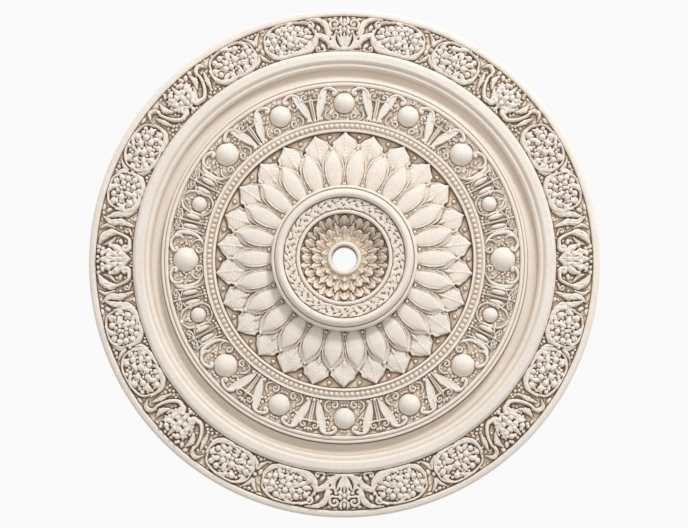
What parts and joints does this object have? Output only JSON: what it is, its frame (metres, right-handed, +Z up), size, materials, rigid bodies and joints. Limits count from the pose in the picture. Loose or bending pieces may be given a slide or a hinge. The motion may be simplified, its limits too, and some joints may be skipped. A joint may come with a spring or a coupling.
{
  "type": "ceiling rose",
  "caption": "Round cast-plaster ceiling rose with a fruit-and-scroll outer frieze, a boss frieze, a leaf wreath and a central bowl with a cable hole; fixed face down.",
  "frame": {"origin": "centre of the flat back, on the ceiling plane", "axes": "+Z up, out of the back into the ceiling; the ornamented face looks down along -Z; -Y is the top of the face's pattern"},
  "size_m": [1.1998, 1.2, 0.082],
  "materials": {
    "plaster": "matte cream-white cast gypsum plaster"
  },
  "bodies": {
    "root": {"ceiling_rose": "plaster"}
  },
  "joints": []
}
